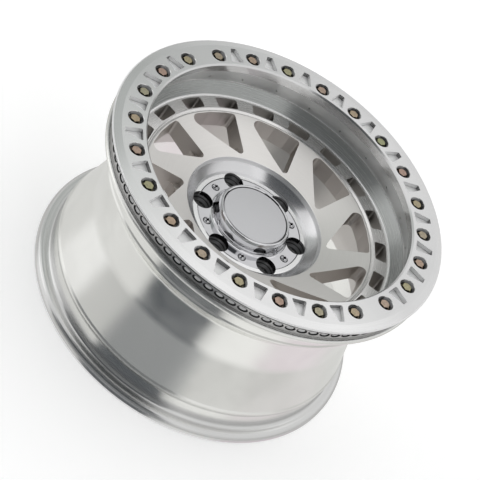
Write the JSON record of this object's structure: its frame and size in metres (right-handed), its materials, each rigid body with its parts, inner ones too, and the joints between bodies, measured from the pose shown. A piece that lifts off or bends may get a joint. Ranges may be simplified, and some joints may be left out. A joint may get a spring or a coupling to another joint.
{
  "type": "car wheel",
  "caption": "Wide off-road car wheel with a dished spoked face, a bolted clamp ring round its outer edge, a deep bowl and a bright centre cap.",
  "frame": {"origin": "on the wheel's axis, in the plane of the inboard edge that the wheel stands on", "axes": "+Z along the wheel's axis, outboard, towards the face with the ring; +X through the first ring bolt"},
  "size_m": [0.4753, 0.4754, 0.263],
  "materials": {
    "wheel": "machined and clear coated",
    "ring": "machined and clear coated",
    "bolts": "yellow zinc plated",
    "washers": "dark zinc plated",
    "cap": "chrome plated",
    "badge": "satin",
    "screws": "bright zinc"
  },
  "bodies": {
    "root": {"wheel": "wheel", "beadlock_ring": "ring", "ring_bolts": "bolts", "ring_washers": "washers", "center_cap": "cap", "cap_badge": "badge", "cap_screws": "screws"}
  },
  "joints": []
}
